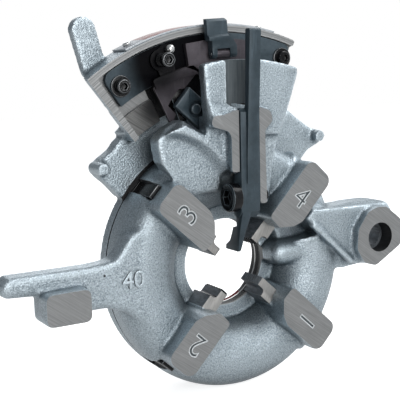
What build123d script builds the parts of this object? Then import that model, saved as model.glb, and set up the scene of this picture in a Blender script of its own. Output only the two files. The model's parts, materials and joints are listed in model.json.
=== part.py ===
# Pipe threading die head: a cast front body carries four chasers, a trip lever and its tower,
# and a cast cam plate behind it turns on a hub sleeve and slides the chasers in or out.
# Millimetres. The bore axis is Y, the front faces -Y and Z is up. The origin is on the bore
# axis at the seam between the two castings. "Depth" is counted from the seam to the front,
# angles are counted about the bore from +X towards +Z, seen from the front.

import os
from math import cos, radians, sin

from build123d import *

os.makedirs("parts", exist_ok=True)

# Clearances
seam_gap = 0.1  # between the two castings
running_gap = 0.05  # radial, round shaft in its hole
slide_gap = 0.15  # each side of a chaser in its slot
rest_gap = 0.2  # between pieces that lie beside each other

# Front body, the ring
bore_r = 29.0
groove_r = 38.7  # foot of the inner slope
ledge_depth = 6.0
rim_r = 81.4
rim_flare = 0.4
rim_depth = 9.0
crest_r = 66.0
crest_depth = 28.0

# Chasers and the bosses over them
chaser_count = 4
first_chaser_angle = -42.4
chaser_width = 10.0
chaser_depth = 26.0
chaser_tip_r = 18.0
chaser_end_r = 73.5
chaser_heel_r = 33.5  # behind the plate's seam the tip is cut back to this radius
chaser_heel_depth = 4.2
thread_pitch = 2.309
thread_height = 1.5
gullet_end_r = 26.3
gullet_floor = -0.5  # across the chaser, from its middle
gullet_round = 2.8
follower_r = 4.0
follower_orbit_r = 55.0
follower_depth = 4.2
machined_depth = 40.0  # all machined faces of the front lie in one plane
cast_extra = 1.2  # stock that machining takes off a cast face
boss_inner_r = 33.0
boss_outer_r = 77.5
boss_half_width = 11.3
boss_round = 3.0

# Cam plate
plate_thickness = 11.0
scroll_rise = 0.30  # mm of chaser travel for each degree of the cam plate
scroll_close = 1.0  # degrees past the resting place
scroll_open = 24.0
groove_depth = 4.5
stub_r = 4.0
stub_depth = 6.0
stub_places = [(-84.6, 67.4), (76.3, 79.0)]
guide_depth = 8.0
sector_start = 69.5
sector_end = 127.8
sector_rim_r = 152.0
sector_rim_wall = 4.0
sector_front = 12.0
sector_wall_angle = 2.2
sector_lip = 4.0  # of full width, before the end wall's outside falls back
sector_fall = 6.5
wing_r = 111.0  # radius to which the left wing reaches up the end wall
tongue_width = 15.3
tongue_thickness = 8.0
tongue_middle = (-82.2, 130.9)
tongue_end = (-87.4, 149.8)

# Arc plate on the quadrant
arc_width = 21.1
arc_thickness = 4.0
arc_start = 70.5
arc_end = 124.6
arc_screw_r = 2.5
arc_screw_places = [(-72.0, 116.0), (42.4, 131.4)]
arc_head_r = 4.3
arc_head_heights = (5.0, 3.0)
arc_washer_r = 6.5
arc_washer_thickness = 1.4

# Scale strip on the rim
scale_thickness = 1.2
scale_back = -9.5
scale_front = 10.5
scale_start = 75.5
scale_end = 116.0
scale_screw_angles = (113.6, 78.0)
scale_shank_r = 1.2

# Tower and trip lever
tower_front = 36.5
pocket_front = 33.5  # beside and below the raised T
tower_edge_front = 34.0  # at the bevelled right edge
tower_plate_back = 28.5
tower_foot_back = 23.0
tower_top_r = 131.0
lever_left = -6.0
lever_right = 7.4
lever_side_gap = 0.65
lever_front = 41.0
lever_back = 32.0
lever_top = 101.0
handle_left = -2.2
handle_right = 5.6
handle_top = 146.5
foot_left = -5.0
pivot_depth = 35.0
pivot_height = 46.5
pivot_shank_r = 3.5
pivot_head_r = 9.0
pivot_head_length = 7.0
pivot_end = 15.5
recess_depth = 31.0

# Arms
arm_front = 27.3
arm_back = 13.0
rest_block_back = 16.0
eye_place = (103.4, 10.9)
eye_r = 10.0
eye_back = 12.0
right_arm_front = 34.0

# Hub sleeve, felt pad and snap ring
sleeve_r = 36.0
sleeve_front = 4.0
sleeve_back = 14.5
sleeve_mouth_r = 34.0  # the sleeve's bore opens to this radius at the back
mouth_depth = -6.0
snap_groove_depth = 1.5
snap_thickness = 1.5
snap_width = 5.4
felt_front = -2.5
felt_thickness = 2.2
felt_start = -82.0
felt_end = -55.0

# Size slide
slide_depth = 12.2
catch_thickness = 3.3
pawl_place = (-25.4, 101.0)
pawl_angle = -41.0
pawl_length = 24.2
pawl_width = 15.5
pawl_thickness = 4.2
pawl_pin_r = 2.4
clip_angle = 3.6
clip_pin_r = 1.5
clip_pin_orbit = 134.6
clip_pin_depth = 19.0
clip_width = 14.4
clip_ear_r = 2.8
clip_hinge_left = -5.2
clip_hinge_right = 12.2
clip_ear_width = 3.4
adjuster_place = (-46.0, 131.0)
adjuster_r = 2.0
adjuster_head_back = 22.5
spring_wire_r = 0.6
pawl_recess = 2.4
slide_inner_r = 98.0
plunger_place = (-40.0, 137.5)

chaser_angles = [first_chaser_angle - 360 / chaser_count * i for i in range(chaser_count)]
slot_width = chaser_width + 2 * slide_gap
slot_depth = chaser_depth + slide_gap
catch_front = slide_depth + catch_thickness
pawl_back = catch_front + rest_gap
arc_outer_r = sector_rim_r - sector_rim_wall - 0.6
arc_inner_r = arc_outer_r - arc_width
scale_outer_r = sector_rim_r + scale_thickness
snap_inner_r = sleeve_r - snap_groove_depth
snap_outer_r = snap_inner_r + snap_width
felt_r = bore_r + felt_thickness
arc_back = sector_front - arc_thickness
ledge_inner_r = arc_inner_r - 0.3
scroll_turns = (-scroll_close, (scroll_open - scroll_close) / 2, scroll_open)
snap_back = plate_thickness + rest_gap + snap_thickness
barrel_left = clip_hinge_left + clip_ear_width + rest_gap
barrel_right = clip_hinge_right - clip_ear_width - 1.4 - rest_gap
pivot_head_left = lever_left - 0.4 - pivot_head_length
pawl_pin_back = slide_depth - 6
slot_left = lever_left - lever_side_gap
slot_right = lever_right + lever_side_gap


def at_depth(depth):
    # Plane across the bore: local x is X, local y is Z, and extrusions go to the front
    return Plane.XZ.offset(depth)


def radial_plane(angle, depth):
    # As at_depth, with local x pointing outward along a radius
    a = radians(angle)
    plane = Plane(origin=(0, 0, 0), x_dir=(cos(a), 0, sin(a)), z_dir=(0, -1, 0))
    return plane.offset(depth)


def clip_side_plane(offset):
    # Side view of the lock clip: local x is -depth, local y is the radius through the clip
    a = radians(90 + clip_angle)
    plane = Plane(origin=(0, 0, 0), x_dir=(0, 1, 0), z_dir=(sin(a), 0, -cos(a)))
    return plane.offset(offset)


def clip_point(offset, height):
    # Point of the front view at an offset from the clip's middle line and a height along it
    a = radians(90 + clip_angle)
    return (height * cos(a) + offset * sin(a), height * sin(a) - offset * cos(a))


def rim_plane(angle, radius):
    # Plane that touches the quadrant's rim, facing outward
    out = (cos(radians(angle)), 0, sin(radians(angle)))
    middle = (scale_back + scale_front) / 2
    return Plane(origin=(radius * out[0], -middle, radius * out[2]), x_dir=(0, 1, 0), z_dir=out)


def wall_plane(angle, radius):
    # Plane across a radius: local x is -depth and local y goes on about the bore
    out = (cos(radians(angle)), 0, sin(radians(angle)))
    return Plane(origin=(radius * out[0], 0, radius * out[2]), x_dir=(0, 1, 0), z_dir=out)


def polar(radius, angle):
    return (radius * cos(radians(angle)), radius * sin(radians(angle)))


def scroll_point(angle, turn):
    # Where the follower of the chaser at this angle sits, on the plate, once it has turned
    return polar(follower_orbit_r + scroll_rise * turn, angle + turn)


def outline(*points):
    with BuildLine() as edge:
        Polyline(*points, close=True)
    make_face(edge.edges())


def arc_band(inner_r, outer_r, start, end):
    # Piece of a ring between two radii and two angles
    with BuildLine() as edge:
        outer = CenterArc((0, 0), outer_r, start, end - start)
        inner = CenterArc((0, 0), inner_r, start, end - start)
        Line(outer @ 0, inner @ 0)
        Line(outer @ 1, inner @ 1)
    make_face(edge.edges())


def front_edges(form):
    # Edges of a form's foremost face
    return form.edges().group_by(Axis.Y)[0]


# Form of one boss, along +X: its sides are cast and its foremost edges are rounded
with BuildPart() as boss_form:
    with BuildSketch(at_depth(0)) as boss_outline:
        outline(
            (boss_inner_r, 0.5),
            (boss_inner_r + 0.8, boss_half_width),
            (boss_outer_r, boss_half_width),
            (boss_outer_r, -boss_half_width),
            (boss_inner_r + 14, -boss_half_width),
            (boss_inner_r + 7.5, 3.3 - boss_half_width),
        )
        fillet(boss_outline.vertices().group_by(Axis.X)[-1], 6)
        fillet(boss_outline.vertices().sort_by(Axis.X)[1], 3)
        fillet(boss_outline.vertices().group_by(Axis.Y)[0].sort_by(Axis.X)[0], 5)
    extrude(amount=machined_depth + cast_extra)
    fillet(front_edges(boss_form), boss_round)

# Form of the left arm
with BuildPart() as left_arm_form:
    with BuildSketch(at_depth(arm_back)) as left_arm_outline:
        outline(
            (-60, 36),
            (-76, 28),
            (-88, 12.5),
            (-103, 11),
            (-152, 10),
            (-156.6, 6.5),
            (-156.6, 1.5),
            (-153, -0.6),
            (-131, -1.5),
            (-128, -15.8),
            (-92, -15),
            (-80, -19),
            (-60, -36),
        )
        fillet(left_arm_outline.vertices().group_by(Axis.X)[0], 2.5)
        fillet(left_arm_outline.vertices().filter_by_position(Axis.X, -104, -87), 12)
    extrude(amount=arm_front - arm_back)
    fillet(front_edges(left_arm_form), 3.5)

# Form of the rest block on the left arm
with BuildPart() as block_form:
    with BuildSketch(at_depth(rest_block_back)) as block_outline:
        outline((-135.1, 1.2), (-107.1, 2.2), (-107.1, -17.8), (-135.1, -18.6))
        fillet(block_outline.vertices(), 4)
    extrude(amount=machined_depth + cast_extra - rest_block_back)
    fillet(front_edges(block_form), boss_round)
    fillet(block_form.edges().group_by(Axis.Y)[-1], 2.5)

# Form of the right arm, which slopes down below its diagonal edge
with BuildPart() as right_arm_form:
    with BuildSketch(at_depth(eye_back)) as right_arm_outline:
        outline(
            (58, 40),
            (66, 34.5),
            (90, 36.3),
            (106, 36.6),
            (114, 34),
            (119, 27),
            (112, 10),
            (104, -7.4),
            (84.1, -5.2),
            (65.8, 11.1),
            (47.3, 27.7),
        )
    extrude(amount=right_arm_front - eye_back)
    # Bevel along the arm's top
    with BuildSketch(Plane.YZ.offset(50)):
        outline((-right_arm_front - 1, 32), (-right_arm_front - 1, 50), (-25.5, 50), (-25.5, 36.8))
    extrude(amount=80, mode=Mode.SUBTRACT)
    fillet(front_edges(right_arm_form), 2)
    with BuildSketch(at_depth(eye_back)) as web_outline:
        outline(
            (62, 24), (80, 12), (100, 4), (100, -7.4), (83, -9.4), (74, -9.6), (69, -14), (60, -30), (65, -8)
        )
        fillet(web_outline.vertices().filter_by_position(Axis.X, 68, 75), 5)
    extrude(amount=26.0 - eye_back)

# Form of the pivot eye at the end of the right arm
with BuildPart() as eye_form:
    with BuildSketch(at_depth(eye_back)) as eye_outline:
        outline(
            (84.0, 4.0),
            (85.0, 18.0),
            (93.0, 29.0),
            (101.0, 31.8),
            (108.5, 31.5),
            (121.0, 22.0),
            (123.0, 12.0),
            (121.0, 4.0),
            (100.0, -7.4),
            (90.5, -4.6),
        )
        fillet(eye_outline.vertices(), 4)
    extrude(amount=machined_depth + cast_extra - eye_back)
    fillet(front_edges(eye_form), 2.0)

# Form of the rounded rib that runs from the bore to the right arm
with BuildPart() as rib_form:
    with BuildSketch(at_depth(2)):
        with Locations((55, 5.2)):
            SlotOverall(54, 16.4, rotation=4)
    extrude(amount=22.5)
    fillet(front_edges(rib_form), 7.8)

# Form of the shoulder lobe at the upper left of the ring
with BuildPart() as lobe_form:
    with BuildSketch(at_depth(16)) as lobe_outline:
        outline(
            (-56.5, 84.0),
            (-49, 91.0),
            (-38.8, 95.4),
            (-27.0, 86.5),
            (-14, 80),
            (-14, 50),
            (-40, 50),
            (-54, 70),
        )
        fillet(lobe_outline.vertices().group_by(Axis.X)[0], 5)
    extrude(amount=crest_depth + 0.4 - 16)
    chamfer(front_edges(lobe_form).group_by(Axis.Z)[-1], 3.5)

# Form of the ridge that runs along the lobe's top and down the tower's foot
with BuildPart() as ridge_form:
    with BuildSketch(at_depth(crest_depth - 1)):
        outline(
            (-54.5, 84.5),
            (-39, 95.2),
            (-24, 87),
            (-8, 62),
            (-14, 59.5),
            (-27.9, 73.5),
            (-34.7, 79.4),
            (-44, 83.5),
        )
    with BuildSketch(at_depth(pocket_front)):
        outline(
            (-50, 89),
            (-40, 92),
            (-24, 84.5),
            (-8, 65.5),
            (-9.5, 64.5),
            (-22, 77.5),
            (-28.5, 82),
            (-40, 87.2),
        )
    loft(ruled=True)

# Form of the lever tower: a plate with a deeper foot on the ring
with BuildPart() as tower_form:
    with BuildSketch(at_depth(tower_plate_back)) as tower_outline:
        with BuildLine():
            top = CenterArc((0, 0), tower_top_r, 71.4, 31.0)
            Polyline(top @ 1, (-25.6, 88), (-24, 84), (-6, 59), (9, 59), (9, 41), (18, 41), (24.6, 78), top @ 0)
        make_face()
        fillet(tower_outline.vertices().sort_by(Axis.X)[-1], 4)
        fillet(tower_outline.vertices().group_by(Axis.Y)[-1].sort_by(Axis.X)[0], 2)
    extrude(amount=tower_front - tower_plate_back)
    with BuildSketch(at_depth(tower_foot_back)):
        outline((-25.6, 97), (-25.6, 88), (-24, 84), (-6, 59), (9, 59), (9, 41), (18, 41), (24.6, 78), (31, 96))
    extrude(amount=tower_plate_back - tower_foot_back)
    with BuildSketch(at_depth(ledge_depth)):
        outline((-24, 84), (-6, 59), (9, 59), (9, 41), (18, 41), (24.6, 78))
        Circle(rim_r - 2, mode=Mode.INTERSECT)
    extrude(amount=tower_foot_back - ledge_depth)
    # Lower fields beside the foot of the T, and the bevel along the right edge
    with BuildSketch(at_depth(pocket_front)):
        outline((-40, 40), (-12, 40), (-12, 90.3), (-40, 90.3))
        outline((13, 30), (40, 30), (40, 84), (12.6, 84))
    extrude(amount=10, mode=Mode.SUBTRACT)
    with BuildSketch(at_depth(tower_edge_front)):
        outline((22, 55), (43, 124), (60, 124), (60, 55))
    with BuildSketch(at_depth(tower_front + 0.1)):
        outline((16, 55), (30, 124), (60, 124), (60, 55))
    loft(ruled=True, mode=Mode.SUBTRACT)

# Form of the slope from the upper plate to the T's left arm
with BuildPart() as slope_form:
    with BuildSketch(at_depth(tower_front - 1)):
        outline((-25.6, 112), (-17.7, 105.8), (-14.2, 104.5), (-6, 102.8), (-6, 96), (-14.3, 96), (-25.4, 94))
    with BuildSketch(at_depth(machined_depth - 0.2)):
        outline((-25.4, 97), (-17.7, 98.6), (-14.2, 99.4), (-6, 101.2), (-6, 96), (-14.3, 96), (-25.4, 94))
    loft(ruled=True)

# Front body
with BuildPart() as front_body:
    with BuildSketch(Plane.XY):
        with BuildLine():
            back = Line((bore_r, 0), (rim_r, 0))
            rim = Line(back @ 1, (rim_r + rim_flare, -rim_depth))
            shoulder = Spline(rim @ 1, (crest_r, -crest_depth), tangents=[(0, -1), (-1, 0)])
            slope = Spline(shoulder @ 1, (groove_r, -ledge_depth - 3), tangents=[(-1, 0), (-0.4, 1)])
            Polyline(slope @ 1, (groove_r, -ledge_depth), (bore_r, -ledge_depth), back @ 0)
        make_face()
    revolve(axis=Axis.Y)
    # Hollow between the rounded rib and the boss above it
    with BuildSketch(at_depth(13)):
        with Locations((49, 19.5)):
            SlotOverall(34, 13, rotation=12)
    extrude(amount=30, mode=Mode.SUBTRACT)
    for angle in chaser_angles:
        add(boss_form.part.rotate(Axis.Y, -angle))
    add([left_arm_form.part, block_form.part, right_arm_form.part, eye_form.part])
    add([rib_form.part, lobe_form.part, ridge_form.part, tower_form.part, slope_form.part])
    # Raised T beside the lever
    with BuildSketch(at_depth(tower_front)):
        outline(
            (-7, 62.5),
            (-12, 62.5),
            (-12, 84),
            (-13.8, 87.6),
            (-24.8, 90.8),
            (-25.5, 92.7),
            (-24.7, 96.2),
            (-18.5, 97.1),
            (-7, 100.3),
        )
        outline(
            (8, 41.7),
            (13, 41.7),
            (12.2, 87.4),
            (17.1, 92),
            (17.9, 94.5),
            (15.8, 99.5),
            (8, 101.6),
        )
    extrude(amount=machined_depth - tower_front)
    # Machining: the front plane, the bore, the eye and the chaser slots
    with BuildSketch(at_depth(machined_depth)):
        Rectangle(400, 400)
    extrude(amount=10, mode=Mode.SUBTRACT)
    with BuildSketch(at_depth(-1)):
        Circle(bore_r)
        with Locations(eye_place):
            Circle(eye_r)
    extrude(amount=machined_depth + 2, mode=Mode.SUBTRACT)
    for angle in chaser_angles:
        with BuildSketch(radial_plane(angle, -1)):
            with Locations((60, 0)):
                Rectangle(80, slot_width)
        extrude(amount=slot_depth + 1, mode=Mode.SUBTRACT)
    # Slot for the trip lever, open to the back at its top, and the shallow recess above it
    with BuildSketch(at_depth(crest_depth + 0.25)):
        outline((slot_left, 30), (slot_right, 30), (slot_right, 104), (slot_left, 104))
    extrude(amount=20, mode=Mode.SUBTRACT)
    with BuildSketch(at_depth(tower_foot_back - 1)):
        outline((slot_left, 84), (slot_right, 84), (slot_right, 104), (slot_left, 104))
    extrude(amount=20, mode=Mode.SUBTRACT)
    with BuildSketch(at_depth(recess_depth)):
        outline(
            (-13.3, tower_top_r + 2),
            (slot_right, tower_top_r + 2),
            (slot_right, 102),
            (-9.5, 102),
            (-13.3, 104.5),
        )
    extrude(amount=20, mode=Mode.SUBTRACT)
    # Counterbore for the hub sleeve
    with BuildSketch(at_depth(-1)):
        Circle(sleeve_r + 0.02)
    extrude(amount=sleeve_front + 1.02, mode=Mode.SUBTRACT)
    # Hole in the right cheek for the lever's pivot screw
    with BuildSketch(Plane.YZ):
        with Locations((-pivot_depth, pivot_height)):
            Circle(pivot_shank_r + 0.02)
    extrude(amount=pivot_end, mode=Mode.SUBTRACT)
front_body.part.label = "front_body"

# Cam plate
with BuildPart() as cam_plate:
    # Disc, wings and the floor of the quadrant
    with BuildSketch(at_depth(-plate_thickness)):
        Circle(rim_r)
        outline(
            (-50, 40),
            (-72, 49),
            (-79.5, 57),
            (-85.5, 62.3),
            (-88.3, 66.7),
            (-84.0, 72.5),
            (-76, 78),
            (-70, 85),
            (-50, 70),
        )
        outline(
            (50, 40),
            (66.7, 65.2),
            (70, 69),
            (75.9, 72),
            (80.5, 74),
            (79.5, 82.5),
            (72.6, 84.5),
            (65.2, 90.2),
            (55, 98),
            (40, 80),
        )
        arc_band(70, sector_rim_r, sector_start, sector_end)
    extrude(amount=plate_thickness - seam_gap)
    for place in stub_places:
        with BuildSketch(at_depth(-plate_thickness)):
            with Locations(place):
                Circle(stub_r)
        extrude(amount=plate_thickness + stub_depth)
    # Ledge under the arc plate, rim and end wall of the quadrant
    with BuildSketch(at_depth(-plate_thickness)):
        arc_band(ledge_inner_r, sector_rim_r, sector_start, sector_end)
    extrude(amount=plate_thickness + arc_back)
    with BuildSketch(at_depth(-plate_thickness)):
        arc_band(sector_rim_r - sector_rim_wall, sector_rim_r, sector_start, sector_end)
        arc_band(104, sector_rim_r, sector_end - sector_wall_angle, sector_end)
    extrude(amount=plate_thickness + sector_front)
    # Outside of the end wall, which falls back under its front edge
    with BuildSketch(wall_plane(sector_end, wing_r)):
        outline(
            (sector_lip - sector_front, 0),
            (plate_thickness + 1, -sector_fall),
            (plate_thickness + 1, 10),
            (sector_lip - sector_front, 10),
        )
    extrude(amount=50, mode=Mode.SUBTRACT)
    # Machined guide face and the step behind it
    with BuildSketch(at_depth(-1)):
        arc_band(104, 119, 115, sector_end - 1)
    extrude(amount=1 + guide_depth)
    with BuildSketch(at_depth(-1)):
        arc_band(118.9, arc_inner_r, 115, sector_end - 1)
    extrude(amount=1 + guide_depth - 3)
    # Handle tongue, whose left edge runs on into the end wall
    with BuildSketch(at_depth(-plate_thickness)):
        SlotCenterPoint(tongue_middle, tongue_end, tongue_width)
        outline((-89.6, 128.9), (-90.0, 122), (-87.6, 118), (-80, 112), (-72, 124), (-74.8, 132.9))
    extrude(amount=tongue_thickness)
    # Bore over the hub sleeve, scroll grooves and holes for the arc screws
    with BuildSketch(at_depth(-plate_thickness - 1)):
        Circle(sleeve_r + running_gap)
        with Locations(arc_screw_places):
            Circle(arc_screw_r + 0.02)
    extrude(amount=plate_thickness + sector_front + 2, mode=Mode.SUBTRACT)
    for angle in scale_screw_angles:
        with BuildSketch(rim_plane(angle, sector_rim_r - 3)):
            Circle(scale_shank_r + 0.02)
        extrude(amount=5, mode=Mode.SUBTRACT)
    for angle in chaser_angles:
        with BuildSketch(at_depth(-groove_depth)):
            with BuildLine(mode=Mode.PRIVATE) as scroll:
                ThreePointArc(*[scroll_point(angle, turn) for turn in scroll_turns])
            SlotArc(scroll.edges()[0], 2 * (follower_r + running_gap))
        extrude(amount=groove_depth, mode=Mode.SUBTRACT)
cam_plate.part.label = "cam_plate"

# Hub sleeve: pressed into the front body, notched where the chasers pass, open at the back
with BuildPart() as hub_sleeve:
    with BuildSketch(Plane.XY):
        outline(
            (bore_r, -sleeve_front),
            (sleeve_r, -sleeve_front),
            (sleeve_r, sleeve_back),
            (sleeve_mouth_r, sleeve_back),
            (bore_r, -mouth_depth),
        )
    revolve(axis=Axis.Y)
    chamfer(hub_sleeve.edges().filter_by(GeomType.CIRCLE).group_by(Axis.Y)[0].sort_by(SortBy.RADIUS)[0], 0.8)
    with BuildSketch(at_depth(-snap_back)):
        Circle(sleeve_r + 1)
        Circle(snap_inner_r, mode=Mode.SUBTRACT)
    extrude(amount=snap_thickness + 0.1, mode=Mode.SUBTRACT)
    with BuildSketch(at_depth(mouth_depth - 2)):
        arc_band(bore_r - 1, felt_r, felt_start, felt_end)
    extrude(amount=felt_front - mouth_depth + 2, mode=Mode.SUBTRACT)
    for angle in chaser_angles:
        with BuildSketch(radial_plane(angle, -seam_gap)):
            with Locations((bore_r + 3, 0)):
                Rectangle(20, slot_width)
        extrude(amount=20, mode=Mode.SUBTRACT)
hub_sleeve.part.label = "hub_sleeve"

# Red felt pad, let into the bottom of the sleeve's bore
with BuildPart() as felt_pad:
    with BuildSketch(at_depth(mouth_depth)):
        arc_band(bore_r, felt_r - 0.02, felt_start + 0.1, felt_end - 0.1)
    extrude(amount=felt_front - mouth_depth)
felt_pad.part.label = "felt_pad"

# Snap ring behind the cam plate, open at the bottom, with two plier holes
with BuildPart() as snap_ring:
    with BuildSketch(at_depth(-snap_back)):
        Circle(snap_outer_r)
        Circle(snap_inner_r + 0.02, mode=Mode.SUBTRACT)
        with Locations((0, -snap_outer_r)):
            Rectangle(16, 2.4 * snap_width, mode=Mode.SUBTRACT)
        with Locations(polar(snap_outer_r - 1, 285), polar(snap_outer_r - 1, 255)):
            Circle(3.4)
            Circle(1.2, mode=Mode.SUBTRACT)
        Circle(snap_inner_r + 0.02, mode=Mode.SUBTRACT)
    extrude(amount=snap_thickness)
snap_ring.part.label = "snap_ring"

# Chaser along +X: toothed tip, chip gullet on one side, follower lug on the back
with BuildPart() as chaser_form:
    with BuildSketch(Plane.XY.offset(-chaser_width / 2)):
        tooth_count = int(chaser_depth / thread_pitch)
        teeth = []
        for tooth in range(tooth_count):
            start = tooth * thread_pitch
            teeth += [(chaser_tip_r + thread_height, -start), (chaser_tip_r, -start - thread_pitch / 2)]
        outline(
            *teeth,
            (chaser_tip_r + thread_height, -chaser_depth),
            (chaser_end_r, -chaser_depth),
            (chaser_end_r, 0),
        )
    extrude(amount=chaser_width)
    with BuildSketch(at_depth(-1)) as gullet:
        outline(
            (chaser_tip_r - 3, gullet_floor),
            (gullet_end_r, gullet_floor),
            (gullet_end_r, -chaser_width),
            (chaser_tip_r - 3, -chaser_width),
        )
        fillet(gullet.vertices().group_by(Axis.X)[-1].sort_by(Axis.Y)[-1], gullet_round)
    extrude(amount=chaser_depth + 2, mode=Mode.SUBTRACT)
    with BuildSketch(at_depth(-1)):
        outline((10, 8), (chaser_heel_r, 8), (chaser_heel_r, -8), (10, -8))
    extrude(amount=chaser_heel_depth + 1, mode=Mode.SUBTRACT)
    with BuildSketch(at_depth(-follower_depth)):
        with Locations((follower_orbit_r, 0)):
            Circle(follower_r)
    extrude(amount=follower_depth + 1)

chasers = []
for number, angle in enumerate(chaser_angles, start=1):
    with BuildPart() as chaser:
        add(chaser_form.part.rotate(Axis.Y, -angle))
    chaser.part.label = f"chaser_{number}"
    chasers.append(chaser.part)

# Trip lever: body in the tower slot, foot in the bore, narrower rib and handle in front
with BuildPart() as trip_lever:
    with BuildSketch(Plane.YZ.offset(lever_left)):
        outline(
            (-40.3, 37.6),
            (-lever_front, 50),
            (-lever_front, lever_top - 2),
            (-lever_front + 2, lever_top),
            (-lever_back, lever_top),
            (-lever_back, 57),
            (-28.2, 52),
            (-28.2, 42),
            (-31.6, 34.7),
            (-36, 33),
        )
    extrude(amount=lever_right - lever_left)
    with BuildSketch(Plane.YZ.offset(handle_left)) as handle_side:
        outline(
            (-lever_front + 1, 52.5),
            (-lever_front - 1, 56),
            (-lever_front - 1.2, 70),
            (-47, handle_top),
            (-41.5, handle_top),
            (-40.2, lever_top + 3),
            (-38, lever_top - 2),
            (-38, 56),
        )
        fillet(handle_side.vertices().group_by(Axis.Y)[-1], 1.5)
    extrude(amount=handle_right - handle_left)
    with BuildSketch(Plane.YZ.offset(foot_left)) as foot_side:
        outline(
            (-40.3, 37.6),
            (-36.2, 24.5),
            (-33.9, 12.7),
            (-33, 11.4),
            (-18, 11.4),
            (-18.1, 14.2),
            (-23.4, 17.6),
            (-26.2, 23.1),
            (-27.5, 26.5),
            (-32, 27.7),
            (-31.6, 36),
            (-36, 42),
        )
    extrude(amount=6)
    with BuildSketch(Plane.XZ):
        outline((foot_left + 2, 9), (foot_left + 2, 12), (foot_left + 6.01, 33), (20, 33), (20, 9))
    extrude(amount=60, mode=Mode.SUBTRACT)
    with BuildSketch(Plane.YZ.offset(lever_left - 1)):
        with Locations((-pivot_depth, pivot_height)):
            Circle(pivot_shank_r + running_gap)
    extrude(amount=20, mode=Mode.SUBTRACT)
trip_lever.part.label = "trip_lever"

# Socket screw that the lever pivots on
with BuildPart() as pivot_screw:
    with BuildSketch(Plane.YZ.offset(pivot_head_left)):
        with Locations((-pivot_depth, pivot_height)):
            Circle(pivot_head_r)
    extrude(amount=pivot_head_length)
    chamfer(pivot_screw.edges().group_by(Axis.X)[0], 0.8)
    with BuildSketch(Plane.YZ.offset(pivot_head_left)):
        with Locations((-pivot_depth, pivot_height)):
            RegularPolygon(5.2, 6)
    extrude(amount=4, mode=Mode.SUBTRACT)
    with BuildSketch(Plane.YZ.offset(pivot_head_left + pivot_head_length - 1)):
        with Locations((-pivot_depth, pivot_height)):
            Circle(pivot_shank_r)
    extrude(amount=pivot_end - 0.2 - (pivot_head_left + pivot_head_length - 1))
pivot_screw.part.label = "pivot_screw"

# Arc plate, screwed on the ledge of the quadrant
with BuildPart() as arc_plate:
    with BuildSketch(at_depth(arc_back)) as arc_outline:
        arc_band(arc_inner_r, arc_outer_r, arc_start, arc_end)
        fillet(arc_outline.vertices().group_by(Axis.X)[0], 6)
        fillet(arc_outline.vertices().group_by(Axis.X)[-1], 4)
        with Locations(arc_screw_places):
            Circle(arc_screw_r + 0.3, mode=Mode.SUBTRACT)
    extrude(amount=arc_thickness)
arc_plate.part.label = "arc_plate"

# Washers and socket screws of the arc plate
arc_fixings = []
for side, place, head_height in zip(("left", "right"), arc_screw_places, arc_head_heights):
    with BuildPart() as washer:
        with BuildSketch(at_depth(sector_front)):
            with Locations(place):
                Circle(arc_washer_r)
                Circle(arc_screw_r + 0.2, mode=Mode.SUBTRACT)
        extrude(amount=arc_washer_thickness)
        chamfer(front_edges(washer), 0.25)
    washer.part.label = f"arc_washer_{side}"
    with BuildPart() as screw:
        with BuildSketch(at_depth(sector_front + arc_washer_thickness)):
            with Locations(place):
                Circle(arc_head_r)
        extrude(amount=head_height)
        chamfer(front_edges(screw), 0.6)
        with BuildSketch(at_depth(sector_front + arc_washer_thickness + head_height)):
            with Locations(place):
                RegularPolygon(2.4, 6)
        extrude(amount=1 - head_height, mode=Mode.SUBTRACT)
        with BuildSketch(at_depth(-plate_thickness + 2)):
            with Locations(place):
                Circle(arc_screw_r)
        extrude(amount=plate_thickness - 2 + sector_front + arc_washer_thickness + 0.5)
    screw.part.label = f"arc_screw_{side}"
    arc_fixings += [washer.part, screw.part]

# Scale strip round the rim, with its two pan screws
with BuildPart() as scale_strip:
    with BuildSketch(at_depth(scale_back)):
        arc_band(sector_rim_r + 0.05, scale_outer_r, scale_start, scale_end)
    extrude(amount=scale_front - scale_back)
    for angle in scale_screw_angles:
        with BuildSketch(rim_plane(angle, sector_rim_r - 1)):
            Circle(scale_shank_r + 0.1)
        extrude(amount=4, mode=Mode.SUBTRACT)
scale_strip.part.label = "scale_strip"
scale_screws = []
for side, angle in zip(("left", "right"), scale_screw_angles):
    with BuildPart() as screw:
        with BuildSketch(rim_plane(angle, scale_outer_r)):
            Circle(2.6)
        extrude(amount=2.0)
        fillet(screw.faces().sort_by(Axis.Z)[-1].edges(), 0.9)
        with BuildSketch(rim_plane(angle, sector_rim_r - 2.5)):
            Circle(scale_shank_r)
        extrude(amount=3.5 + scale_outer_r - sector_rim_r)
    screw.part.label = f"scale_screw_{side}"
    scale_screws.append(screw.part)

# Slide block in the quadrant, behind the catch plate, with the boss under the pawl
with BuildPart() as slide_block:
    with BuildSketch(at_depth(rest_gap)) as block_band:
        arc_band(slide_inner_r, ledge_inner_r - rest_gap, 88, 109.5)
        fillet(block_band.vertices(), 2)
    extrude(amount=slide_depth - rest_gap)
    with BuildSketch(at_depth(slide_depth - 1)):
        with Locations(pawl_place):
            Circle(6)
    extrude(amount=1 + catch_thickness)
    with BuildSketch(at_depth(pawl_pin_back)):
        with Locations(pawl_place):
            Circle(pawl_pin_r + 0.02)
    extrude(amount=20, mode=Mode.SUBTRACT)
slide_block.part.label = "slide_block"

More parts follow.
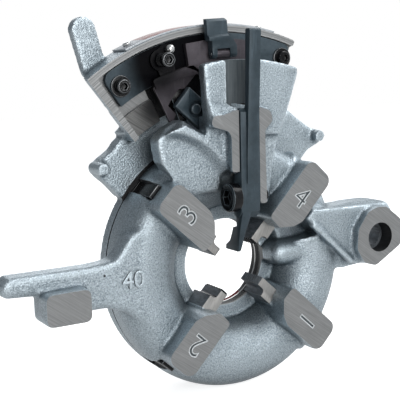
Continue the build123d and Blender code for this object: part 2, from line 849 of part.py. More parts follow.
# Catch plate: raised curved strip, thinner web with its tail, upright tab and clip barrel
with BuildPart() as catch_plate:
    with BuildSketch(at_depth(slide_depth)):
        outline(
            (-51.2, 114.5),
            (-47.2, 107),
            (-40.4, 92.8),
            (-39.0, 92.4),
            (-36.3, 98.2),
            (-41.6, 103.5),
            (-42.4, 109),
            (-37.5, 114.2),
            (-30, 113.6),
            (-21, 123),
            (-30, 126),
            (-45, 120),
        )
        with Locations(adjuster_place):
            Circle(6.5)
        outline((-45.5, 120), (-36, 124), (-37, 137), (-43, 141), (-52, 134))
    extrude(amount=catch_thickness - 1.5)
    with BuildSketch(at_depth(slide_depth)) as strip_outline:
        arc_band(124, 130, 92, 113.6)
        fillet(strip_outline.vertices().group_by(Axis.X)[0], 1.5)
    extrude(amount=catch_thickness)
    with BuildSketch(at_depth(slide_depth)) as tab_outline:
        arc_band(122.5, 143.5, 83.2, 98.2)
        fillet(tab_outline.vertices().group_by(Axis.Y)[-1], 2.5)
    extrude(amount=catch_thickness)
    # Barrel for the clip's hinge pin
    with BuildSketch(clip_side_plane(barrel_left)):
        with Locations((-clip_pin_depth, clip_pin_orbit)):
            Circle(clip_ear_r - 0.3)
        with Locations((-(slide_depth + catch_front) / 2 - 2, clip_pin_orbit)):
            Rectangle(catch_thickness + 2, 4.4)
    extrude(amount=barrel_right - barrel_left)
    with BuildSketch(clip_side_plane(barrel_left - 1)):
        with Locations((-clip_pin_depth, clip_pin_orbit)):
            Circle(clip_pin_r + running_gap)
    extrude(amount=barrel_right - barrel_left + 2, mode=Mode.SUBTRACT)
    with BuildSketch(at_depth(slide_depth - 1)):
        with Locations(adjuster_place):
            Circle(adjuster_r + 0.02)
    extrude(amount=6, mode=Mode.SUBTRACT)
catch_plate.part.label = "catch_plate"

# Lock clip: a plate with its nose on the rim, and a wider foot with two ears on the hinge pin
with BuildPart() as lock_clip:
    with BuildSketch(clip_side_plane(-clip_width / 2)):
        outline(
            (-16.4, 142.5),
            (-22.2, 142.5),
            (-22.4, 145.0),
            (-20.4, 146.2),
            (-20.4, 155.6),
            (-19.0, 157.2),
            (-10.4, 157.2),
            (-10.4, 153.9),
            (-14.0, 153.9),
            (-15.6, 151.0),
        )
    extrude(amount=clip_width)
    with BuildSketch(clip_side_plane(clip_hinge_left)):
        outline(
            (-16.2, clip_pin_orbit + clip_ear_r + 0.2),
            (-21.8, clip_pin_orbit + clip_ear_r + 0.2),
            (-22.4, 145.0),
            (-16.3, 145.0),
        )
    extrude(amount=clip_hinge_right - clip_hinge_left)
    fillet(lock_clip.edges().filter_by(Axis.Y).group_by(Axis.Z)[-1], 2)
    # The foot widens towards the hinge
    with BuildSketch(at_depth(14)):
        outline(
            clip_point(clip_width / 2, 147),
            clip_point(clip_hinge_right + 5, 147),
            clip_point(clip_hinge_right + 5, 139),
            clip_point(clip_hinge_right, 139),
        )
        outline(
            clip_point(-clip_width / 2, 143.5),
            clip_point(-clip_width / 2 - 5, 143.5),
            clip_point(-clip_width / 2 - 5, 137),
            clip_point(clip_hinge_left, 137),
        )
    extrude(amount=10, mode=Mode.SUBTRACT)
    ears = ((clip_hinge_left, barrel_left - rest_gap), (barrel_right + rest_gap, clip_hinge_right))
    for inner, outer in ears:
        with BuildSketch(clip_side_plane(inner)):
            with Locations((-clip_pin_depth, clip_pin_orbit)):
                Circle(clip_ear_r)
            outline(
                (-clip_pin_depth + clip_ear_r, clip_pin_orbit),
                (-clip_pin_depth - clip_ear_r, clip_pin_orbit),
                (-21.8, 139.5),
                (-16.3, 139.5),
            )
        extrude(amount=outer - inner)
    with BuildSketch(clip_side_plane(clip_hinge_left - 1)):
        with Locations((-clip_pin_depth, clip_pin_orbit)):
            Circle(clip_pin_r + running_gap)
    extrude(amount=clip_hinge_right - clip_hinge_left + 2, mode=Mode.SUBTRACT)
lock_clip.part.label = "lock_clip"

with BuildPart() as clip_pin:
    with BuildSketch(clip_side_plane(clip_hinge_left - 0.5)):
        with Locations((-clip_pin_depth, clip_pin_orbit)):
            Circle(clip_pin_r)
    extrude(amount=clip_hinge_right - clip_hinge_left + 1)
clip_pin.part.label = "clip_pin"

# Square pawl on its headed pin
with BuildPart() as square_pawl:
    with BuildSketch(at_depth(pawl_back)) as pawl_outline:
        with Locations(Location(pawl_place, pawl_angle)):
            Rectangle(pawl_length, pawl_width)
        fillet(pawl_outline.vertices(), 0.8)
    extrude(amount=pawl_thickness)
    chamfer(front_edges(square_pawl), 0.5)
    with BuildSketch(at_depth(pawl_back + pawl_thickness - pawl_recess)):
        with Locations(pawl_place):
            Circle(5.3)
    extrude(amount=5, mode=Mode.SUBTRACT)
    with BuildSketch(at_depth(pawl_back - 1)):
        with Locations(pawl_place):
            Circle(pawl_pin_r + running_gap)
    extrude(amount=10, mode=Mode.SUBTRACT)
square_pawl.part.label = "square_pawl"

with BuildPart() as pawl_pin:
    with BuildSketch(at_depth(pawl_pin_back)):
        with Locations(pawl_place):
            Circle(pawl_pin_r)
    extrude(amount=pawl_back + pawl_thickness - pawl_recess + 0.6 - pawl_pin_back)
    with BuildSketch(at_depth(pawl_back + pawl_thickness - pawl_recess + 0.1)):
        with Locations(pawl_place):
            Circle(3.4)
    extrude(amount=pawl_recess + 0.6)
    chamfer(front_edges(pawl_pin), 0.6)
pawl_pin.part.label = "pawl_pin"

# Adjusting screw with the spring round it, and the bright plunger beside it
with BuildPart() as adjusting_screw:
    with BuildSketch(at_depth(slide_depth + rest_gap)):
        with Locations(adjuster_place):
            Circle(adjuster_r)
    extrude(amount=12)
    with BuildSketch(at_depth(adjuster_head_back)):
        with Locations(adjuster_place):
            Circle(4.4)
    extrude(amount=4)
    chamfer(front_edges(adjusting_screw), 0.6)
    with BuildSketch(at_depth(adjuster_head_back + 4)):
        with Locations(adjuster_place):
            RegularPolygon(2.4, 6)
    extrude(amount=-3, mode=Mode.SUBTRACT)
adjusting_screw.part.label = "adjusting_screw"

with BuildPart() as adjuster_spring:
    spring_turns = 4
    spring_back = slide_depth + catch_thickness - 1.5 + spring_wire_r + 0.2
    spring_length = adjuster_head_back - spring_back - spring_wire_r - 0.2
    with BuildLine() as spring_line:
        Helix(
            pitch=spring_length / spring_turns,
            height=spring_length,
            radius=3.4,
            center=(adjuster_place[0], -spring_back, adjuster_place[1]),
            direction=(0, -1, 0),
        )
    with BuildSketch(Plane(origin=spring_line.line @ 0, z_dir=spring_line.line % 0)):
        Circle(spring_wire_r)
    sweep()
adjuster_spring.part.label = "adjuster_spring"

with BuildPart() as plunger:
    with BuildSketch(at_depth(slide_depth + catch_thickness - 1.5)):
        with Locations(plunger_place):
            Circle(2.7)
    extrude(amount=4.6)
    fillet(front_edges(plunger), 2.2)
plunger.part.label = "plunger"

for part in (
    front_body.part,
    cam_plate.part,
    hub_sleeve.part,
    felt_pad.part,
    snap_ring.part,
    *chasers,
    trip_lever.part,
    pivot_screw.part,
    arc_plate.part,
    *arc_fixings,
    scale_strip.part,
    *scale_screws,
    slide_block.part,
    catch_plate.part,
    lock_clip.part,
    clip_pin.part,
    square_pawl.part,
    pawl_pin.part,
    adjusting_screw.part,
    adjuster_spring.part,
    plunger.part,
):
    export_step(part, f"parts/{part.label}.step")
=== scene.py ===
# Looks of the pipe threading die head: two rounded iron castings with machined faces, oxide-black
# steel with worn edges, tempered brown plates and small bright screws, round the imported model.
# Metres. The bore axis is Y, the front faces -Y and Z is up. Sizes in the settings are millimetres,
# and a depth is counted forward from the seam between the two castings.

import json
import math

import bmesh
import bpy
import numpy as np
from mathutils import Matrix, Vector


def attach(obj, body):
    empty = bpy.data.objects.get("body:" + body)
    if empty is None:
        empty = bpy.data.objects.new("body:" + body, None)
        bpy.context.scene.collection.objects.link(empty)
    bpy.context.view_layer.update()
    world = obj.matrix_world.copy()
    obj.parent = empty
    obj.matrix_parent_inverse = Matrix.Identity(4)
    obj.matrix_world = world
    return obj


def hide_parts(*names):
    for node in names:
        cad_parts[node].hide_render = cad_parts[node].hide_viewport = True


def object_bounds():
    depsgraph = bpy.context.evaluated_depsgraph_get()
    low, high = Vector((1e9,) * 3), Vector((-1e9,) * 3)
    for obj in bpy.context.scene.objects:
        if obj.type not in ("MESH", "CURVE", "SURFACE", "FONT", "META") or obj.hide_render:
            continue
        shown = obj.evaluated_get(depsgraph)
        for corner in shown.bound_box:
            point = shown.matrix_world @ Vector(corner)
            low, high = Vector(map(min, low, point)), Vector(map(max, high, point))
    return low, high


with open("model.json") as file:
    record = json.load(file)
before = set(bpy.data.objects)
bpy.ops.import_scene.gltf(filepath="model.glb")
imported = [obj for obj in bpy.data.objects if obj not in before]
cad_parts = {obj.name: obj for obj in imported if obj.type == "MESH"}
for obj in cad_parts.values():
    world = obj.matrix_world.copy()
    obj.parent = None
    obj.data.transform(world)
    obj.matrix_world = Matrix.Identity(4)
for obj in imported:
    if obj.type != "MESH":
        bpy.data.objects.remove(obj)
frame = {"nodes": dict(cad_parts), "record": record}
cadLow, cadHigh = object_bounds()
mm = 0.001
close = 0.01  # mm within which a corner counts as lying on a face
weldReach = 2e-6  # metres within which corners are joined
sharpAngle = 32  # degrees between two faces over which their edge stays sharp
behaviour = frame["record"]["behaviour"]
bodyOf = {name: body for body, names in behaviour["bodies"].items() for name in names}
print("frame loaded:", len(frame["nodes"]), "nodes")


# Shader helpers


def addNode(tree, kind, inputs=None, **settings):
    # One shader node: settings are its attributes, inputs are its socket values or links.
    item = tree.nodes.new(kind)
    for key, value in settings.items():
        setattr(item, key, value)
    for key, value in (inputs or {}).items():
        if isinstance(value, bpy.types.NodeSocket):
            tree.links.new(value, item.inputs[key])
        else:
            item.inputs[key].default_value = value
    return item


def noise(tree, place, scale, detail, roughness=0.5):
    # Soft noise over a place, around 0.5.
    settings = {"Vector": place, "Scale": scale, "Detail": detail, "Roughness": roughness}
    return addNode(tree, "ShaderNodeTexNoise", settings).outputs[0]


def ranged(tree, value, low, high, start=0.0, stop=1.0, **settings):
    # Runs from start, where the value is low, to stop, where it is high, and is flat beyond.
    ends = {"Value": value, "From Min": low, "From Max": high, "To Min": start, "To Max": stop}
    return addNode(tree, "ShaderNodeMapRange", ends, **settings).outputs[0]


def newGroup(name, inputs, outputs):
    # An empty node group with float inputs and outputs, and the nodes at its two ends.
    tree = bpy.data.node_groups.new(name, "ShaderNodeTree")
    for label, value in inputs.items():
        socket = tree.interface.new_socket(label, in_out="INPUT", socket_type="NodeSocketFloat")
        socket.default_value = value
    for label in outputs:
        tree.interface.new_socket(label, in_out="OUTPUT", socket_type="NodeSocketFloat")
    return tree, tree.nodes.new("NodeGroupInput"), tree.nodes.new("NodeGroupOutput")


def castSkin():
    # Cast grain: fine noise with small round pits, and slow blotches from the mould.
    sizes = {"Grain Scale": 1150.0, "Pit Scale": 720.0}
    tree, start, end = newGroup("castSkin", sizes, ("Grain", "Blotch", "Height"))
    place = addNode(tree, "ShaderNodeTexCoord").outputs["Object"]
    grain = ranged(tree, noise(tree, place, start.outputs["Grain Scale"], 3.0, 0.65), 0.3, 0.7)
    pitted = {"Vector": place, "Scale": start.outputs["Pit Scale"]}
    pits = addNode(tree, "ShaderNodeTexVoronoi", pitted).outputs["Distance"]
    dents = ranged(tree, pits, 0.0, 0.55)
    height = addNode(tree, "ShaderNodeMath", {0: grain, 1: dents}, operation="ADD")
    half = addNode(tree, "ShaderNodeMath", {0: height.outputs[0], 1: 0.5}, operation="MULTIPLY")
    tree.links.new(grain, end.inputs["Grain"])
    tree.links.new(noise(tree, place, 42.0, 4.0, 0.6), end.inputs["Blotch"])
    tree.links.new(half.outputs[0], end.inputs["Height"])
    return tree


def endMarks(tree, end, place, fine):
    # The outputs of both kinds of tool marks: lines from their noise, and smudges across them.
    lines = ranged(tree, fine, 0.3, 0.7)
    tree.links.new(lines, end.inputs["Lines"])
    tree.links.new(noise(tree, place, 90.0, 4.0, 0.65), end.inputs["Smudge"])
    tree.links.new(lines, end.inputs["Height"])
    return tree


def toolMarks():
    # Parallel tool marks: noise squeezed across the marks and drawn out along them.
    sizes = {"Turn": 0.6, "Across": 1500.0, "Along": 45.0}
    tree, start, end = newGroup("toolMarks", sizes, ("Lines", "Smudge", "Height"))
    place = addNode(tree, "ShaderNodeTexCoord").outputs["Object"]
    turned = {"Vector": place, "Angle": start.outputs["Turn"]}
    turn = addNode(tree, "ShaderNodeVectorRotate", turned, rotation_type="Y_AXIS").outputs[0]
    along, across = start.outputs["Along"], start.outputs["Across"]
    size = addNode(tree, "ShaderNodeCombineXYZ", {0: along, 1: along, 2: across}).outputs[0]
    drawn = addNode(tree, "ShaderNodeVectorMath", {0: turn, 1: size}, operation="MULTIPLY")
    return endMarks(tree, end, place, noise(tree, drawn.outputs[0], 1.0, 3.0, 0.6))


def flatPlace(tree, place):
    # The place in the XZ plane: the same point with its depth made nought.
    inputs = {0: place, 1: (1, 0, 1)}
    return addNode(tree, "ShaderNodeVectorMath", inputs, operation="MULTIPLY").outputs[0]


def turnedMarks():
    # Turning marks: noise over the distance from the bore's axis alone.
    tree, start, end = newGroup("turnedMarks", {"Across": 900.0}, ("Lines", "Smudge", "Height"))
    place = addNode(tree, "ShaderNodeTexCoord").outputs["Object"]
    radius = addNode(tree, "ShaderNodeVectorMath", {0: flatPlace(tree, place)}, operation="LENGTH")
    count = {0: radius.outputs["Value"], 1: start.outputs["Across"]}
    turns = addNode(tree, "ShaderNodeMath", count, operation="MULTIPLY").outputs[0]
    rings = {"W": turns, "Scale": 1.0, "Detail": 3.0, "Roughness": 0.6}
    fine = addNode(tree, "ShaderNodeTexNoise", rings, noise_dimensions="1D").outputs[0]
    return endMarks(tree, end, place, fine)


def oxideSkin():
    # Blackened steel: cloudy oxide with sparse fine scratches, drawn out along the height.
    sizes = {"Cloud Scale": 130.0, "Scratch Scale": 420.0}
    tree, start, end = newGroup("oxideSkin", sizes, ("Cloud", "Scratch", "Height"))
    place = addNode(tree, "ShaderNodeTexCoord").outputs["Object"]
    cloud = noise(tree, place, start.outputs["Cloud Scale"], 6.0, 0.7)
    drawn = {"Vector": place, "Rotation": (0.3, 0.5, 0.2), "Scale": (1.0, 1.0, 0.06)}
    long = addNode(tree, "ShaderNodeMapping", drawn).outputs[0]
    fine = noise(tree, long, start.outputs["Scratch Scale"], 2.0)
    tree.links.new(cloud, end.inputs["Cloud"])
    tree.links.new(ranged(tree, fine, 0.62, 0.74), end.inputs["Scratch"])
    tree.links.new(noise(tree, place, 1400.0, 2.0), end.inputs["Height"])
    return tree


def sootPatch():
    # A soft round patch of painted shade in the XZ plane: 1 inside Near, 0 beyond Far.
    sizes = {"X": 0.0, "Z": 0.0, "Near": 0.01, "Far": 0.05}
    tree, start, end = newGroup("sootPatch", sizes, ("PaintedShade",))
    place = addNode(tree, "ShaderNodeTexCoord").outputs["Object"]
    middle = {0: start.outputs["X"], 2: start.outputs["Z"]}
    middle = addNode(tree, "ShaderNodeCombineXYZ", middle).outputs[0]
    apart = {0: flatPlace(tree, place), 1: middle}
    reach = addNode(tree, "ShaderNodeVectorMath", apart, operation="DISTANCE").outputs["Value"]
    far, near = start.outputs["Far"], start.outputs["Near"]
    paintedShade = ranged(tree, reach, far, near, interpolation_type="SMOOTHSTEP")
    tree.links.new(paintedShade, end.inputs["PaintedShade"])
    return tree


groups = {
    "castSkin": castSkin(),
    "toolMarks": toolMarks(),
    "turnedMarks": turnedMarks(),
    "oxideSkin": oxideSkin(),
    "sootPatch": sootPatch(),
}
masks = {
    "castSkin": ("Grain", "Blotch"),
    "toolMarks": ("Lines", "Smudge"),
    "turnedMarks": ("Lines", "Smudge"),
    "oxideSkin": ("Cloud", "Scratch"),
}
bendRange = (0.44, 0.56)  # pointiness of a hollow and of a convex edge
# black of the painted shade patches
paintedShadeColour = (0.002, 0.002, 0.003)


def mixedColour(tree, share, first, second):
    # first * (1 - share) + second * share
    inputs = {0: share, 6: first, 7: (*second, 1)}
    return addNode(tree, "ShaderNodeMix", inputs, data_type="RGBA").outputs[2]


def newMaterial(name, look):
    # A material of one skin. Two of its masks, mixed by "second" and narrowed by "spread", run from
    # the dark colour to the light one and along the roughness, and the skin's height is the bump.
    # "rim" makes convex edges of a dense mesh paler by that much, as worn paint and painted edge
    # highlight, and hollows darker, as painted shade. A soft black patch is painted shade, and so
    # is the darkening of what lies within a given reach of another surface.
    material = bpy.data.materials.new(name)
    material.use_nodes = True
    tree = material.node_tree
    tree.nodes.clear()
    skin = addNode(tree, "ShaderNodeGroup", node_tree=groups[look["skin"]])
    for label, value in look.get("sizes", {}).items():
        skin.inputs[label].default_value = value
    first, second = (skin.outputs[label] for label in masks[look["skin"]])
    shares = {0: look["second"], 2: first, 3: second}
    mixed = addNode(tree, "ShaderNodeMix", shares, data_type="FLOAT").outputs[0]
    mask = ranged(tree, mixed, 0.5 - look["spread"], 0.5 + look["spread"])
    # worn paint and painted edge highlight on convex edges, painted shade in hollows
    if "rim" in look:
        bend = addNode(tree, "ShaderNodeNewGeometry").outputs["Pointiness"]
        worn = ranged(tree, bend, *bendRange, -look["rim"], look["rim"])
        inputs = {0: mask, 1: worn}
        mask = addNode(tree, "ShaderNodeMath", inputs, operation="ADD", use_clamp=True).outputs[0]
    paint = mixedColour(tree, mask, (*look["dark"], 1), look["light"])
    # painted shade: a soft black patch mixed over the paint
    if "paintedShade" in look:
        patch = addNode(tree, "ShaderNodeGroup", node_tree=groups["sootPatch"])
        for label, value in look["paintedShade"].items():
            patch.inputs[label].default_value = value * mm
        paint = mixedColour(tree, patch.outputs[0], paint, paintedShadeColour)
    # painted shade: darker where another surface lies within the reach
    if "hollowShade" in look:
        hollowShade = look["hollowShade"]
        distance = {"Distance": hollowShade["reach"] * mm}
        near = addNode(tree, "ShaderNodeAmbientOcclusion", distance, samples=hollowShade["samples"])
        shade = ranged(tree, near.outputs["AO"], *hollowShade["open"], hollowShade["share"], 0.0)
        paint = mixedColour(tree, shade, paint, hollowShade["colour"])
    height = {"Strength": look["bump"], "Distance": look["reach"] * mm}
    relief = addNode(tree, "ShaderNodeBump", {**height, "Height": skin.outputs["Height"]})
    shader = addNode(tree, "ShaderNodeBsdfPrincipled", {
        "Base Color": paint,
        "Roughness": ranged(tree, mask, 0.0, 1.0, *look["roughness"]),
        "Normal": relief.outputs[0],
        "Metallic": look["metallic"],
        "Specular IOR Level": look.get("specular", 0.5),
    })
    output = addNode(tree, "ShaderNodeOutputMaterial")
    tree.links.new(shader.outputs[0], output.inputs[0])
    return material


# Finishes of the cast iron

plainCastLook = {
    "skin": "castSkin",
    "dark": (0.17, 0.21, 0.24),
    "light": (0.60, 0.68, 0.73),
    "second": 0.25,
    "spread": 0.42,
    "metallic": 0.88,
    "roughness": (0.44, 0.28),
    "bump": 0.7,
    "reach": 0.36,
    "rim": 0.5,
}
# Painted shade in hollows, by how near other surfaces lie
hollowShadeLook = {
    "reach": 18.0,
    "samples": 6,
    "open": (0.3, 0.92),
    "share": 0.5,
    "colour": (0.045, 0.055, 0.063),
}
castLook = {**plainCastLook, "hollowShade": hollowShadeLook}
shadowLook = {
    **plainCastLook, "dark": (0.004, 0.004, 0.005), "light": (0.014, 0.014, 0.016),
    "metallic": 0.0, "roughness": (0.7, 0.6), "rim": 0.0,
}
# Painted shade: darker cast iron for creases, sides of raised digits and a small pit
creaseShadeLook = {
    **plainCastLook, "dark": (0.03, 0.036, 0.04), "light": (0.12, 0.13, 0.14), "rim": 0.0,
}
feltLook = {
    **plainCastLook, "dark": (0.20, 0.012, 0.014), "light": (0.45, 0.05, 0.055),
    "metallic": 0.0, "roughness": (0.8, 0.9), "rim": 0.0, "sizes": {"Grain Scale": 1600.0},
}

# Finishes of faces that a tool has cut

milledLook = {
    "skin": "toolMarks",
    "dark": (0.20, 0.205, 0.207),
    "light": (0.34, 0.345, 0.347),
    "second": 0.35,
    "spread": 0.45,
    "metallic": 0.5,
    "roughness": (0.42, 0.55),
    "bump": 0.08,
    "reach": 0.1,
    "sizes": {"Turn": -0.62},
}
rimLook = {
    **milledLook, "skin": "turnedMarks", "dark": (0.16, 0.165, 0.167),
    "light": (0.46, 0.465, 0.467), "second": 0.15, "sizes": {"Across": 1100.0},
}
# Painted shade: milled faces in recesses, darker than open ones
recessShadeLook = {
    **milledLook, "dark": (0.065, 0.080, 0.088), "light": (0.16, 0.185, 0.20),
    "sizes": {"Turn": 1.57, "Across": 1100.0},
}
stampLook = {
    **milledLook, "dark": (0.52, 0.55, 0.56), "light": (0.85, 0.88, 0.9), "metallic": 0.3,
}
guideLook = {
    **milledLook, "dark": (0.05, 0.05, 0.05), "light": (0.26, 0.26, 0.255),
    "sizes": {"Turn": -0.55, "Across": 1300.0, "Along": 40.0},
    # painted shade: the guide goes black towards its right end
    "paintedShade": {"X": -46.0, "Z": 103.0, "Near": 4.0, "Far": 20.0},
}
toolLook = {
    **milledLook, "dark": (0.28, 0.275, 0.265), "light": (0.46, 0.45, 0.435),
    "metallic": 0.6, "sizes": {"Turn": 1.2, "Along": 200.0},
}
toolSideLook = {**toolLook, "dark": (0.07, 0.08, 0.09), "light": (0.25, 0.275, 0.30)}
# Painted shade: near-black turned steel inside bores that light doesn't reach
boreShadeLook = {
    **toolLook, "dark": (0.010, 0.011, 0.012), "light": (0.05, 0.052, 0.055),
    "sizes": {"Turn": 0.2},
}
brightLook = {
    **milledLook, "dark": (0.45, 0.45, 0.45), "light": (0.78, 0.78, 0.77),
    "second": 0.8, "metallic": 0.9, "roughness": (0.16, 0.28),
}
scalePlateLook = {
    **milledLook, "dark": (0.36, 0.38, 0.40), "light": (0.62, 0.65, 0.68), "metallic": 0.6,
}

# Finishes of blackened, tempered and painted steel

oxideLook = {
    "skin": "oxideSkin",
    "dark": (0.030, 0.048, 0.061),
    "light": (0.070, 0.102, 0.126),
    "second": 0.25,
    "spread": 0.25,
    "metallic": 0.3,
    "roughness": (0.4, 0.52),
    "bump": 0.12,
    "reach": 0.1,
}
oxideEdgeLook = {
    **oxideLook, "dark": (0.06, 0.078, 0.09), "light": (0.17, 0.195, 0.21),
    "metallic": 0.5, "roughness": (0.34, 0.42),
}
arcLook = {
    **oxideLook, "dark": (0.060, 0.080, 0.094), "light": (0.13, 0.165, 0.19),
    "metallic": 0.0, "specular": 0.03,
    # painted shade: black over the arc plate's right part, fading towards its left end
    "paintedShade": {"X": -32.0, "Z": 132.0, "Near": 26.0, "Far": 45.0},
}
temperedLook = {
    **oxideLook, "dark": (0.072, 0.064, 0.073), "light": (0.15, 0.136, 0.154),
    "specular": 0.12, "roughness": (0.36, 0.5),
    # painted shade: black round the catch plate's ear
    "paintedShade": {"X": -50.0, "Z": 132.0, "Near": 12.0, "Far": 30.0},
}
temperedEdgeLook = {
    **temperedLook, "dark": (0.12, 0.10, 0.10), "light": (0.26, 0.22, 0.22), "metallic": 0.5,
}
screwLook = {
    **oxideLook, "dark": (0.003, 0.003, 0.004), "light": (0.012, 0.013, 0.014),
    "metallic": 0.0, "roughness": (0.22, 0.34), "specular": 0.25,
}
screwEdgeLook = {
    **screwLook, "dark": (0.10, 0.105, 0.11), "light": (0.36, 0.37, 0.38), "metallic": 0.8,
}
redLook = {
    **oxideLook, "dark": (0.24, 0.10, 0.09), "light": (0.42, 0.20, 0.18), "metallic": 0.1,
}

finishes = {
    "castIron": castLook,
    "castShadow": shadowLook,
    "castCreaseShade": creaseShadeLook,
    "milled": milledLook,
    "rim": rimLook,
    "recessShade": recessShadeLook,
    "stamp": stampLook,
    "guide": guideLook,
    "tool": toolLook,
    "toolSide": toolSideLook,
    "bore": boreShadeLook,
    "oxide": oxideLook,
    "oxideEdge": oxideEdgeLook,
    "arcOxide": arcLook,
    "tempered": temperedLook,
    "temperedEdge": temperedEdgeLook,
    "screw": screwLook,
    "screwEdge": screwEdgeLook,
    "bright": brightLook,
    "felt": feltLook,
    "red": redLook,
    "scalePlate": scalePlateLook,
}
materials = {name: newMaterial(name, look) for name, look in finishes.items()}
print("materials:", len(materials))


# Mesh helpers: outlines are (x, z) in millimetres, seen from the front


def disc(centre, radius, count=96):
    # Outline of a round: centre + radius * (cos a, sin a).
    a = math.tau * np.arange(count) / count
    return np.stack([centre[0] + radius * np.cos(a), centre[1] + radius * np.sin(a)], axis=1)


def band(inner, outer, start, end, count=40):
    # Outline of a piece of a ring between two radii and two angles in degrees.
    angles = np.radians(np.linspace(start, end, count))
    arc = np.stack([np.cos(angles), np.sin(angles)], axis=1)
    return np.concatenate([outer * arc, inner * arc[::-1]])


def bar(angle, inner, outer, halfWidth):
    # Outline of a bar along a radius.
    a = math.radians(angle)
    along, across = np.array((math.cos(a), math.sin(a))), np.array((-math.sin(a), math.cos(a)))
    corners = ((inner, -halfWidth), (outer, -halfWidth), (outer, halfWidth), (inner, halfWidth))
    return np.array([r * along + s * across for r, s in corners])


def addMesh(form, points, faces):
    # Joins points, in millimetres, and the faces between them to a form.
    mesh = bpy.data.meshes.new("added")
    mesh.from_pydata(points.reshape(-1, 3) * mm, [], faces)
    form.from_mesh(mesh)
    bpy.data.meshes.remove(mesh)


def prismFaces(count):
    # Two ends and the walls between them, for an outline that is given twice.
    i = np.arange(count)
    j = (i + 1) % count
    walls = np.stack([i, j, j + count, i + count], axis=1)
    return [i[::-1].tolist(), (i + count).tolist(), *walls.tolist()]


def addPrism(form, outline, back, front):
    # Extrudes an outline from one depth to the other: its points at y = -back and at y = -front.
    x, z = np.array(outline, dtype=float).T
    points = np.stack([np.stack([x, 0 * x - depth, z], axis=1) for depth in (back, front)])
    addMesh(form, points, prismFaces(len(x)))


def addRound(form, centre, size, count=96):
    # A round prism of a size given as (radius, back, front).
    radius, back, front = size
    addPrism(form, disc(centre, radius, count), back, front)


def addRib(form, angle, profile, halfWidth):
    # Extrudes a side profile of (radius, depth) points across the radius at this angle: a point
    # lies at radius * along + or - halfWidth * across.
    a = math.radians(angle)
    radius, depth = np.array(profile, dtype=float).T
    sides = []
    for offset in (-halfWidth, halfWidth):
        x = radius * math.cos(a) - offset * math.sin(a)
        z = radius * math.sin(a) + offset * math.cos(a)
        sides.append(np.stack([x, -depth, z], axis=1))
    addMesh(form, np.stack(sides), prismFaces(len(radius)))


def addRing(form, centre, inner, outer, back, front, count=96):
    # A flat ring: its square section, as (radius, depth), carried round the centre, with
    # x = centre x + radius * cos a and z = centre z + radius * sin a.
    a = (math.tau * np.arange(count) / count)[:, None]
    radius, depth = np.array([(inner, back), (outer, back), (outer, front), (inner, front)]).T
    x, z = centre[0] + radius * np.cos(a), centre[1] + radius * np.sin(a)
    here = np.arange(4 * count).reshape(count, 4)
    there = np.roll(here, -1, axis=0)
    corners = [here, np.roll(here, -1, axis=1), np.roll(there, -1, axis=1), there]
    faces = np.stack(corners, axis=-1).reshape(-1, 4).tolist()
    addMesh(form, np.stack([x, 0 * a - depth, z], axis=-1), faces)


def objectFrom(form, name, *pieceMaterials):
    # A form made an object, with its faces turned outwards.
    bmesh.ops.recalc_face_normals(form, faces=form.faces)
    mesh = bpy.data.meshes.new(name)
    form.to_mesh(mesh)
    form.free()
    piece = bpy.data.objects.new(name, mesh)
    bpy.context.scene.collection.objects.link(piece)
    for material in pieceMaterials:
        mesh.materials.append(material)
    return piece


def settled(piece, angle=sharpAngle):
    # Applies the piece's modifiers, smooths its faces and keeps edges over the angle sharp.
    evaluated = piece.evaluated_get(bpy.context.evaluated_depsgraph_get())
    mesh = bpy.data.meshes.new_from_object(evaluated)
    piece.modifiers.clear()
    piece.data = mesh
    mesh.shade_smooth()
    mesh.set_sharp_from_angle(angle=math.radians(angle))
    return piece


def nodeForm(name):
    # A copy of a CAD node with the doubles of its loose triangles merged.
    form = bmesh.new()
    form.from_mesh(frame["nodes"][name].data)
    bmesh.ops.remove_doubles(form, verts=form.verts, dist=weldReach)
    for face in form.faces:
        face.material_index = 0
    return form


def nudge(form, moves):
    # Moves the corners inside a box, as (x range, z range, depth range, shift), by its shift.
    for vertex in form.verts:
        place = (vertex.co.x / mm, vertex.co.z / mm, -vertex.co.y / mm)
        for *ranges, shift in moves:
            if all(low <= value <= high for value, (low, high) in zip(place, ranges)):
                vertex.co += Vector((shift[0], -shift[2], shift[1])) * mm
                break


def cutter(name, outline, back, front, material="milled"):
    # A prism that a casting is cut by, and whose material its cut faces take. Its far end may lie
    # anywhere beyond the metal.
    form = bmesh.new()
    addPrism(form, outline, back, front)
    return objectFrom(form, name, materials[material])


def castPiece(name, form, look, cutters):
    # A casting: voxels and smoothing round the welded form, then the cutters leave machined faces.
    piece = objectFrom(form, name, materials["castIron"])
    remesh = piece.modifiers.new("skin", "REMESH")
    remesh.mode = "VOXEL"
    remesh.voxel_size = look["voxel"] * mm
    soft = piece.modifiers.new("soft", "SMOOTH")
    soft.factor = 0.5
    soft.iterations = look["rounds"]
    for number, tool in enumerate(cutters):
        cut = piece.modifiers.new(f"cut{number}", "BOOLEAN")
        cut.operation = "DIFFERENCE"
        cut.solver = "MANIFOLD"
        cut.material_mode = "TRANSFER"
        cut.object = tool
    settled(piece)
    for tool in cutters:
        bpy.data.objects.remove(tool)
    print(name, "faces:", len(piece.data.polygons), [m.name for m in piece.data.materials])
    return piece


# Numbers: stamped into the pads and raised on the left arm

chaserAngles = [-42.4, -132.4, -222.4, -312.4]
digitLook = {
    "size": 19.5,
    "padRadius": 57.8,
    "steps": ((0.35, 0.45, "stamp"), (1.1, -0.3, "recessShade")),  # depth, offset and finish of each
}


